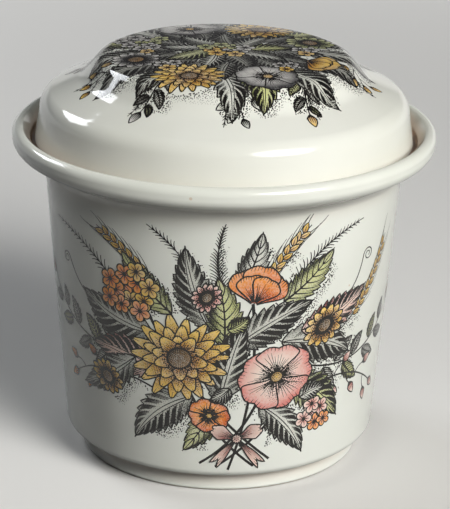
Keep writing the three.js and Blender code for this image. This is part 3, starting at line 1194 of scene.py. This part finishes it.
def draw_grain(sheet, start, end, bend, grains, wash):
    """An ear of grain: husks left and right along the upper half of a stalk, each with a long awn."""
    line = curve(start, end, bend, STALK_STEPS)
    beside = [spot + aside for spot in line[14:] for aside in (0, 2, -2, 2j, -2j)]
    sheet.claim(beside + line, 1 + HUSK_LAYERS)
    sheet.stroke(line, *STALK_PEN)
    for k in range(grains):
        side = 1 if k % 2 else -1
        sheet.floor(1 + k % HUSK_LAYERS)
        spot, way = ahead(line, 0.52 + 0.46 * k / grains)
        tip = spot + way * polar(HUSK_LENGTH, HUSK_TURN * side)
        shape = leaf_shape(spot, tip, HUSK_WIDTH, 0.12 * side)
        sheet.tint(shape, lambda t, u: mixed(*wash, t + 0.3 * (u - 0.5)))
        sheet.outline(shape, HUSK_STEPS, HUSK_EDGE_PEN)
        sheet.rib(shape, 0.5, 0.1, 0.7, 3, *AWN_PEN)
        awn = tip + way * polar(sheet.rng.uniform(5.0, 7.5), 0.16 * side)
        sheet.stroke(curve(tip, awn, 0.05 * side, AWN_STEPS), *AWN_PEN)


def draw_frond(sheet, start, end, bend, barb, pairs):
    """A feathery frond: pairs of fine barbs that get shorter towards the tip."""
    line = curve(start, end, bend, FROND_STEPS)
    draw_stem(sheet, line, FROND_PEN)
    for k in range(pairs):
        share = 0.16 + 0.82 * k / pairs
        spot, way = ahead(line, share)
        for side in (1, -1):
            length = barb * (1.05 - 0.8 * share) * sheet.rng.uniform(0.85, 1.1)
            tip = spot + way * polar(length, side * (0.80 - 0.25 * share))
            sheet.stroke(curve(spot, tip, -0.10 * side, AWN_STEPS), *BARB_PEN)


def draw_tendril(sheet, start, end, turns, radius, side):
    """A thin line that ends in a narrowing spiral."""
    line = curve(start, end, 0.2 * side, TENDRIL_STEPS)
    eye = end + ahead(line, 1.0)[1] * 1j * side * radius
    steps = int(SPIRAL_STEPS * turns)
    spiral = [eye + (end - eye) * polar(1 - 0.8 * k / steps, side * math.tau * k / SPIRAL_STEPS)
              for k in range(1, steps + 1)]
    draw_stem(sheet, line + spiral, TENDRIL_PEN)


sample = PrintSheet(seed=0, pitch=1.0)
draw_grain(sample, 0j, 40 + 0j, 0.1, 14, OCHRE)
print("an ear of grain takes", sample.count())

# %% [markdown]
# Two things hold the drawing together. A ribbon ties the stems, with loops and tails that are petals of
# another form. And the bare ground gets stipple: every motif throws a soft shadow away from the
# engraver's light. The map of what is drawn where tells whether a motif stands between a place and
# that light, and how near. The dots follow the golden angle again, so that they form no rows.

# %% Bow and ground
BOW = ((0, -2.25, 1.15, 0.36, -0.1), (0, -0.85, 1.25, 0.34, -0.1),
       (1, 2.75, 1.0, 0.66, 0.35), (1, 0.40, 1.0, 0.66, 0.35))
SHADOW_REACHES = (0.8, 0.9), (1.6, 0.7), (2.4, 0.4), (3.2, 0.18)
GROUND_PITCH, GROUND_DOT, GROUND_JITTER = 0.64, 0.27, 0.2


def draw_bow(sheet, knot, size, wash):
    """The ribbon's tails and loops, listed in BOW as (layer, angle, length, spread, drop), and its knot."""
    sheet.claim_round(knot, size, 3)
    for floor, angle, length, spread, drop in BOW:
        sheet.floor(floor)
        shape = petal_shape(knot, angle, 0.05 * size, length * size, spread, drop, notch=0.15)
        draw_petal(sheet, shape, lambda t, u: mixed(*wash, 1.2 * t - 0.5 * u),
                   lambda t, u: 0.9 * (0.5 - t) + 0.4 * (u - 0.6), veins=4)
    sheet.floor(2)
    draw_disc(sheet, knot, 0.17 * size, wash)


def draw_ground(sheet, middle, radius, squash=1.0, shade=lambda place: 0.0):
    """Stipples the bare ground: a soft shadow beside each motif, and what shade adds."""
    sheet.layer = 0
    step = GROUND_PITCH / math.sqrt(math.pi * squash)
    for k in range(int((radius / step) ** 2)):
        place = tilted(middle + polar(step * math.sqrt(k), GOLDEN_ANGLE * k), middle, squash, 0.0)
        place += polar(GROUND_JITTER, sheet.rng.uniform(0, math.tau))
        if sheet.cell(place) in sheet.cover:
            continue
        dark = shade(place)
        for reach, depth in SHADOW_REACHES:
            if sheet.cell(place - polar(reach, SHADOW_WAY)) in sheet.cover:
                dark = max(dark, depth)
        sheet.shade_dot(place, dark, GROUND_DOT)


sample = PrintSheet(seed=0, pitch=1.0)
draw_bow(sample, 0j, 9.0, ROSE_LEAF)
draw_ground(sample, 0j, 15)
print("a bow and its shadow take", sample.count())

# %% [markdown]
# The jar's print is one wide spray, tied at the bottom. It is drawn from the back to the front: fronds
# and grain first, then twigs and stems, then the large leaves, the flowers, and last the ground around
# them. The places are in millimetres, from the middle of the print and up from a line just above the
# heel of the wall.

# %% Spray for the wall
STEM_PEN = (0.95, 0.8)
TOOTH_LENGTH = 2.6
# Each large leaf has its stalk, tip, width, bend, wash, tone and the half that is lit.
SPRAY_LEAVES = (
    (-20 + 43j, -45 + 51j, 13, 2.0, DARK_GREEN, 0.9, 1),
    (-18 + 30j, -42 + 35j, 12, -2.0, ROSE_LEAF, 0.85, -1),
    (-3 + 46j, -10 + 71j, 11, 1.5, DARK_GREEN, 0.8, 1),
    (18 + 41j, 43 + 33j, 13, 2.0, DARK_GREEN, 0.9, -1),
    (20 + 28j, 40 + 13j, 12, 2.0, OLIVE, 0.8, 1),
    (-8 + 24j, -27 + 8j, 12, -2.0, DARK_GREEN, 0.8, 1),
    (12 + 21j, 27 + 4j, 10, 1.5, GREY_GREEN, 0.85, -1),
    (18 + 54j, 33 + 68j, 9, -1.0, OLIVE, 0.6, 1),
    (-14 + 50j, -29 + 67j, 9, 1.0, OLIVE, 0.6, -1),
    (24 + 44j, 48 + 53j, 11, -1.5, ROSE_LEAF, 0.8, 1),
    (0 + 24j, -11 + 6j, 9, 1.0, OLIVE, 0.6, 1),
    (-26 + 34j, -48 + 20j, 10, 1.5, GREY_GREEN, 0.85, 1),
    (5 + 58j, 11 + 76j, 8, -1.0, GREY_GREEN, 0.7, 1),
    (4 + 40j, 27 + 53j, 11, 1.0, DARK_GREEN, 0.9, -1),
    (1 + 40j, -1 + 62j, 10, -1.0, OLIVE, 0.7, 1),
    (0 + 22j, 7 + 48j, 12, 1.0, DARK_GREEN, 0.95, 1))


def leaf_teeth(base, tip):
    return round(abs(tip - base) / TOOTH_LENGTH)


def draw_spray(sheet):
    for frond in ((-6 + 48j, -21 + 77j, -0.15, 5.5, 20), (2 + 54j, 1 + 79j, 0.10, 5.0, 20),
                  (18 + 50j, 44 + 75j, 0.16, 5.5, 22), (-24 + 40j, -58 + 70j, -0.16, 5.0, 24)):
        draw_frond(sheet, *frond)
    for ear in ((4 + 36j, 25 + 77j, 0.08, 16), (-10 + 38j, -38 + 73j, -0.12, 14),
                (20 + 34j, 58 + 66j, -0.14, 14)):
        draw_grain(sheet, *ear, OCHRE)
    draw_twig(sheet, -20 + 36j, -66 + 49j, 0.14, 8, 12, (GREY_GREEN, DARK_GREEN, OLIVE), PINK)
    draw_twig(sheet, 22 + 34j, 68 + 42j, -0.16, 8, 12, (DARK_GREEN, GREY_GREEN, OLIVE), OCHRE)
    draw_bud_twig(sheet, -14 + 22j, -54 + 21j, -0.16, 6, 4.4, ORANGE)
    draw_bud_twig(sheet, 18 + 20j, 60 + 17j, 0.18, 6, 4.4, PINK)
    draw_tendril(sheet, 30 + 48j, 46 + 63j, 1.7, 2.2, -1)
    draw_tendril(sheet, -30 + 48j, -52 + 59j, 1.6, 2.0, 1)
    for stem in ((-13 + 36j, 11 + 1j, -0.08), (14 + 30j, -6 + 2j, 0.10), (9 + 54j, 3 + 0j, 0.06),
                 (-24 + 55j, 16 + 3j, -0.06), (30 + 46j, -1 + 1j, 0.10)):
        draw_stem(sheet, curve(*stem), STEM_PEN)
    for base, tip, width, bend, wash, tone, lit in SPRAY_LEAVES:
        draw_leaf(sheet, base, tip, width, bend, leaf_teeth(base, tip), wash, tone, lit)
    draw_florets(sheet, -27 + 55j, 8.5, 13, 3.3, (ORANGE, ORANGE, OCHRE))
    draw_florets(sheet, 31 + 15j, 5.0, 7, 2.9, (PINK, PINK, ORANGE))
    draw_poppy(sheet, 10 + 57j, 9.5, math.pi / 2 - 0.25, ORANGE)
    draw_bloom(sheet, 32 + 44j, 7.5, DAISY, 0.34, OCHRE, 0.8, 0.5)
    draw_bloom(sheet, -37 + 25j, 6.5, DAISY, 0.36, OCHRE, 0.8, -0.5)
    draw_bloom(sheet, -4 + 56j, 5.0, DAISY, 0.36, PINK, 0.85, 0.9)
    draw_rose(sheet, 17 + 30j, 12, PINK, 0.88, 0.4, 0.3)
    draw_bloom(sheet, -12 + 36j, 15.5, DAHLIA, 0.24, OCHRE, 0.88, 0.3)
    draw_rose(sheet, -3 + 18j, 6.5, ORANGE, 0.85, -0.3, 0.9)
    draw_bow(sheet, 5.5 + 10.5j, 9.0, ROSE_LEAF)
    for base, tip, width, bend, wash in ((3 + 27j, -3 + 23j, 5, 0.8, DARK_GREEN),
                                         (25 + 22j, 34 + 24j, 6, 0.8, GREY_GREEN),
                                         (2 + 46j, 8 + 50j, 5, -0.6, OLIVE)):
        draw_leaf(sheet, base, tip, width, bend, 6, wash, 0.8)
    draw_ground(sheet, 2 + 39j, 46, 0.72)
    return sheet


spray = draw_spray(PrintSheet(seed=5, pitch=1.0))
print("the spray takes", spray.count())

# %% [markdown]
# The lid has a wreath of the same flowers on its crown, with leaves and twigs that run down over the
# crown's edge. Here the flat drawing is a disc: a point's distance from the middle will be measured
# along the curved lid, so nothing is squeezed where the lid turns down.

# %% Wreath for the lid
WREATH_RADIUS = 28.0
SPOKES, OUTER_LEAVES, DARK_LEAVES, INNER_LEAVES = 10, 15, 16, 9
LEAF_STYLES = (DARK_GREEN, 0.9), (GREY_GREEN, 0.8), (OLIVE, 0.8), (DARK_GREEN, 0.95), (NIGHT, 0.9)
BUD_WASHES = OCHRE, DUSK, GREY_GREEN
CROWN_SHADE, SHADE_FADE = 1.2, 12


def draw_wreath(sheet):
    rng = sheet.rng
    for k in range(SPOKES):
        angle = math.tau * k / SPOKES
        draw_frond(sheet, polar(24, angle + 0.15), polar(49.5, angle + 0.31), 0.08, 4.5, 15)
        root, wash = polar(26, angle - 0.16), BUD_WASHES[k % len(BUD_WASHES)]
        if k % 2:
            draw_twig(sheet, root, polar(47, angle - 0.36 + 0.1 * (k % 3)), 0.0, 6, 9.5,
                      (GREY_GREEN, DARK_GREEN, OLIVE), wash)
        else:
            draw_bud_twig(sheet, root, polar(45, angle - 0.26), 0.1, 5, 4.0, wash)
    for k in range(OUTER_LEAVES):
        wash, tone = LEAF_STYLES[k % len(LEAF_STYLES)]
        angle = math.tau * k / OUTER_LEAVES + rng.uniform(-0.05, 0.05)
        tip = polar(rng.uniform(41, 48.5), angle + rng.uniform(-0.12, 0.12))
        draw_leaf(sheet, polar(22, angle), tip, rng.uniform(9.5, 12.5), rng.uniform(-1.5, 1.5), 9, wash, tone,
                  1 if k % 2 else -1)
    for k, _ in petal_floors(DARK_LEAVES):
        angle = math.tau * (k + 0.3) / DARK_LEAVES
        draw_leaf(sheet, polar(13, angle), polar(29, angle - 0.12), 8.0, -1.0, 7, NIGHT, 0.95)
    for k, _ in petal_floors(INNER_LEAVES):
        angle = math.tau * k / INNER_LEAVES
        wash, _ = LEAF_STYLES[(k + 2) % len(LEAF_STYLES)]
        draw_leaf(sheet, polar(5, angle), polar(20, angle + 0.2), 8.5, 1.0, 8, wash, 0.8)
    draw_bloom(sheet, polar(WREATH_RADIUS, -1.95), 11, DAHLIA, 0.24, OCHRE)
    draw_rose(sheet, polar(WREATH_RADIUS, -1.12), 9.5, DUSK, spin=-1.12)
    draw_poppy(sheet, polar(WREATH_RADIUS, -0.35), 8, -0.35, OCHRE)
    draw_bloom(sheet, polar(WREATH_RADIUS, 0.45), 7.5, DAISY, 0.34, OLIVE)
    draw_bloom(sheet, polar(WREATH_RADIUS, 1.20), 11, DAHLIA, 0.24, OCHRE)
    draw_rose(sheet, polar(WREATH_RADIUS, 1.98), 9.5, DUSK, spin=1.98)
    draw_florets(sheet, polar(WREATH_RADIUS, 2.75), 7.5, 11, 3.1, (DUSK, DUSK, OLIVE))
    draw_bloom(sheet, polar(WREATH_RADIUS, 3.50), 7.5, DAISY, 0.34, DUSK)
    for angle in (-2.37, -0.74, 0.06, 3.12):
        draw_florets(sheet, polar(23.5, angle), 3.6, 4, 2.7, (DUSK, DUSK, OCHRE, DUSK))
    draw_florets(sheet, 0j, 7.0, 11, 3.0, (OLIVE, OCHRE, DUSK))
    draw_ground(sheet, 0j, 46,
                shade=lambda place: CROWN_SHADE - max(0.0, abs(place) - WREATH_RADIUS) / SHADE_FADE)
    return sheet


wreath = draw_wreath(PrintSheet(seed=8, pitch=0.55))
print("the wreath takes", wreath.count())

# %% [markdown]
# Now the flat drawings become meshes. Laying a flat point on the clay needs its place and the clay's
# normal there. On the wall, the sheet's width becomes an angle about the axis and its height a distance
# along the slightly leaning wall. On the lid, the distance from the sheet's middle is walked along the
# lid's own outline, and what lies between two of its points is interpolated.

# %% Places on wall and lid
PRINT_FOOT = 9.0
PRINT_RADIUS = 50.6
WALL_LEAN = math.atan(WALL_FLARE)
SAME_PLACE = 1e-9


def on_wall(turn):
    """A function that lays flat points on the wall, with the sheet's middle at that turn from the front."""
    def places_on(flat, lift):
        height = PRINT_FOOT + flat.imag * math.cos(WALL_LEAN)
        radius = wall_radius(height) + lift * math.cos(WALL_LEAN)
        angle = turn + flat.real / PRINT_RADIUS
        out = np.column_stack((np.sin(angle), -np.cos(angle)))
        places = np.column_stack((out * radius[:, None], height - lift * math.sin(WALL_LEAN)))
        normals = np.column_stack((out * math.cos(WALL_LEAN), np.full(len(flat), -math.sin(WALL_LEAN))))
        return places, normals

    return places_on


lid_points, lid_normals = lid_outline[0][::-1], lid_outline[1][::-1]
lid_walk = np.concatenate(([0.0], np.cumsum(np.linalg.norm(np.diff(lid_points, axis=0), axis=1))))


def on_lid(flat, lift):
    """Lays flat points on the lid, walking each one's distance down from the crown's middle."""
    walked, turn = np.abs(flat), flat / np.maximum(np.abs(flat), SAME_PLACE)
    radius, height, out, up = (np.interp(walked, lid_walk, values)
                               for values in (*lid_points.T, *lid_normals.T))
    size = np.hypot(out, up)
    out, up = out / size, up / size
    across = np.column_stack((turn.real, turn.imag))
    places = np.column_stack((across * (radius + lift * out)[:, None], height + lift * up))
    return places, np.column_stack((across * out[:, None], up))


print("the wall leans by", round(math.degrees(WALL_LEAN), 2), "degrees;",
      "from the crown to the lid's edge it is", round(lid_walk[lid_points[:, 0].argmax()], 1), "mm")

# %% [markdown]
# Every tint patch is a grid, and gets its colour on the mesh's points and its own square of a UV map.
# All faces are cut to short steps, so that they follow the round clay, and each layer lies a hundredth
# of a millimetre above the one before. The normals are those of the clay underneath: a gloss then runs
# smoothly over clay, tint and ink. Where a grid starts or ends in a point, that row is one point.

# %% Tint meshes
LAYER_BASE = 0.020
LAYER_STEP = 0.009
PATCH_START, PATCH_END = 0.1, 0.9
POINT_ROW = 1e-6


def laid_mesh(name, flat, layers, faces, places_on, uv):
    """A mesh of flat points laid on the clay by places_on, with the clay's normals and a bake map."""
    places, normals = places_on(flat, LAYER_BASE + LAYER_STEP * layers)
    piece = smooth_piece(name, places, faces, normals)
    corner_points = np.empty(len(piece.data.loops), np.int32)
    piece.data.loops.foreach_get("vertex_index", corner_points)
    corner_uv = uv[corner_points].astype(np.float32).ravel()
    piece.data.uv_layers.new(name="OFBake").data.foreach_set("uv", corner_uv)
    print(name, "has", len(faces), "faces on", math.ceil(layers.max()), "layers")
    return piece


def tint_piece(name, sheet, places_on):
    """All tints of a sheet as one mesh, with their colours in the point attribute tint."""
    cells = math.ceil(math.sqrt(len(sheet.tints)))
    flat, layers, tones, uv, faces, start = [], [], [], [], [], 0
    for number, (layer, grid, colours) in enumerate(sheet.tints):
        index = start + np.arange(grid.size).reshape(grid.shape)
        for row in (0, -1):
            if np.ptp(grid[row].real) + np.ptp(grid[row].imag) < POINT_ROW:
                index[row] = index[row, 0]
        faces.append(np.stack((index[:-1, :-1], index[1:, :-1], index[1:, 1:], index[:-1, 1:]), axis=-1))
        along, across = (np.linspace(PATCH_START, PATCH_END, count) for count in grid.shape)
        square = np.stack(np.meshgrid(along, across, indexing="ij"), axis=-1).reshape(-1, 2)
        uv.append((square + divmod(number, cells)) / cells)
        flat.append(grid.ravel())
        layers.append(np.full(grid.size, float(layer)))
        tones.append(colours.reshape(-1, 3))
        start += grid.size
    used, corners = np.unique(np.concatenate([f.reshape(-1, 4) for f in faces]), return_inverse=True)
    faces = [tuple(dict.fromkeys(face)) for face in corners.reshape(-1, 4).tolist()]
    flat, layers, tones, uv = (np.concatenate(part)[used] for part in (flat, layers, tones, uv))
    piece = laid_mesh(name, flat, layers, faces, places_on, uv)
    attribute = piece.data.attributes.new("tint", "FLOAT_VECTOR", "POINT")
    attribute.data.foreach_set("vector", tones.astype(np.float32).ravel())
    return piece


print("print layers are", LAYER_STEP, "mm apart")

# %% [markdown]
# A stroke becomes a ribbon that tapers from its first width to its last, and a dot a hexagon. Curves
# could carry the strokes, but thousands of them are slow to handle, and they would be round instead of
# flat on the clay. The ink's UV map is simply the flat drawing, shrunk to the unit square.

# %% Ink meshes
DOT_SIDES = 6
UV_MARGIN = 1.02
NO_STEP = 1e-6


def stepped(points, pitch):
    """The same line with no step longer than the pitch, and no two points in one place."""
    line = [points[0]]
    for point in points[1:]:
        run = point - line[-1]
        if abs(run) > NO_STEP:
            steps = math.ceil(abs(run) / pitch)
            line += [line[-1] + run * k / steps for k in range(1, steps + 1)]
    return np.array(line)


def ink_piece(name, sheet, places_on):
    """All strokes and dots of a sheet as one mesh."""
    flat, layers, faces, start = [], [], [], 0
    for layer, points, width, end_width in sheet.strokes:
        line = stepped(points, sheet.pitch)
        way = np.gradient(line)
        side = 0.5j * way / np.abs(way) * np.linspace(width, end_width, len(line))
        flat += [line - side, line + side]
        count = len(line)
        for right in range(start, start + count - 1):
            faces.append((right, right + 1, right + count + 1, right + count))
        layers.append(np.full(2 * count, layer))
        start += 2 * count
    ring = np.exp(2j * np.pi * np.arange(DOT_SIDES) / DOT_SIDES)
    for layer, centre, radius in sheet.dots:
        flat.append(centre + radius * ring)
        faces.append(tuple(range(start, start + DOT_SIDES)))
        layers.append(np.full(DOT_SIDES, layer))
        start += DOT_SIDES
    flat, layers = np.concatenate(flat), np.concatenate(layers)
    reach = UV_MARGIN * max(np.abs(flat.real).max(), np.abs(flat.imag).max())
    uv = 0.5 + 0.5 * np.column_stack((flat.real, flat.imag)) / reach
    return laid_mesh(name, flat, layers, faces, places_on, uv)


print("a line of 10 mm is cut into", len(stepped([0j, 10 + 0j], wreath.pitch)) - 1, "steps on the lid")

# %% [markdown]
# A print is never one even tone. The hand-laid tint is thicker here and thinner there, with a fine grain
# from the transfer paper, and the ink has places where less of it came over. One node group makes
# that unevenness; the tint and the ink use it with their own values. Both lie under the same glaze as
# the clay.

# %% Print materials
WEAR_DETAIL = 2.0
WEAR_START, WEAR_END = 0.18, 0.36
INK_WEAR = {"Patch Scale": 260.0, "Grain Scale": 2600.0, "Most": 0.6}
PAPER_TONE = (0.80, 0.79, 0.735, 1)
INK_TONE, WORN_INK = (0.006, 0.0055, 0.005, 1), (0.035, 0.030, 0.027, 1)

print_wear, given, made = new_group(
    "print_wear", {"Patch Scale": 140.0, "Grain Scale": 1900.0, "Most": 0.3}, ("Thin",))
patch = noise(print_wear, given["Patch Scale"], WEAR_DETAIL)
grain = noise(print_wear, given["Grain Scale"], WEAR_DETAIL)
thin = add_node(print_wear, "ShaderNodeMapRange",
                {"Value": calculate(print_wear, "MULTIPLY", patch, grain), "From Min": WEAR_START,
                 "From Max": WEAR_END, "To Max": given["Most"]})
print_wear.links.new(thin.outputs[0], made["Thin"])

hand_tint, tree, shader = new_material("hand_tint")
glaze_over(tree, shader)
tone = add_node(tree, "ShaderNodeAttribute", attribute_name="tint").outputs["Vector"]
uneven = mix_colours(tree, place_group(tree, print_wear)["Thin"], tone, PAPER_TONE)
tree.links.new(uneven, shader.inputs["Base Color"])

print_ink, tree, shader = new_material("print_ink")
glaze_over(tree, shader)
uneven = mix_colours(tree, place_group(tree, print_wear, INK_WEAR)["Thin"], INK_TONE, WORN_INK)
tree.links.new(uneven, shader.inputs["Base Color"])
print("print materials:", hand_tint.name, print_ink.name)

# %% [markdown]
# The same spray goes on the front and on the back of the jar, as the transfer sheets were used in
# pairs. The wreath goes on the lid as it is: a dahlia and a rose of it lie on the viewer's side.

# %% Lay the prints
for sheet, label, body, places_on in ((spray, "jar_front", "jar", on_wall(0.0)),
                                      (spray, "jar_back", "jar", on_wall(math.pi)),
                                      (wreath, "lid", "lid", on_lid)):
    for piece, material in ((tint_piece(label + "_tints", sheet, places_on), hand_tint),
                            (ink_piece(label + "_ink", sheet, places_on), print_ink)):
        piece.data.materials.append(material)
        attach(piece, body)
